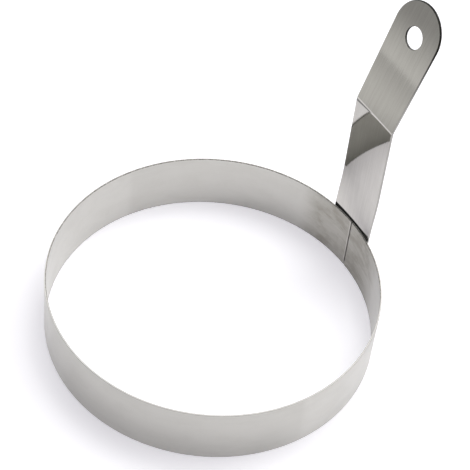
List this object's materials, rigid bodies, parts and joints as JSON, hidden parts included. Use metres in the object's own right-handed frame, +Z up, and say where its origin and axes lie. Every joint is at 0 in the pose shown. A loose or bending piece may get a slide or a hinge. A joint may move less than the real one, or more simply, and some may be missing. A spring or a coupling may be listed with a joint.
{
  "type": "cooking ring",
  "caption": "Round steel ring with an upright folded strap handle and a hanging hole, used to shape eggs, batter and burgers on a hot plate.",
  "frame": {"origin": "centre of the ring, in the plane of its lower rim, which it rests on", "axes": "+Z up along the ring's axis; +X from the axis to the handle; +Y to the left of the handle seen from the middle of the ring looking outward"},
  "size_m": [0.1438, 0.127, 0.1288],
  "materials": {
    "band_steel": "satin cold-rolled strip, fine grain along the strip",
    "strap_steel": "bright rolled strip, near mirror on the lower blade",
    "weld_steel": "fused steel inside the joint"
  },
  "bodies": {
    "root": {"ring_band": "band_steel", "handle_strap": "strap_steel", "spot_welds": "weld_steel"}
  },
  "joints": []
}
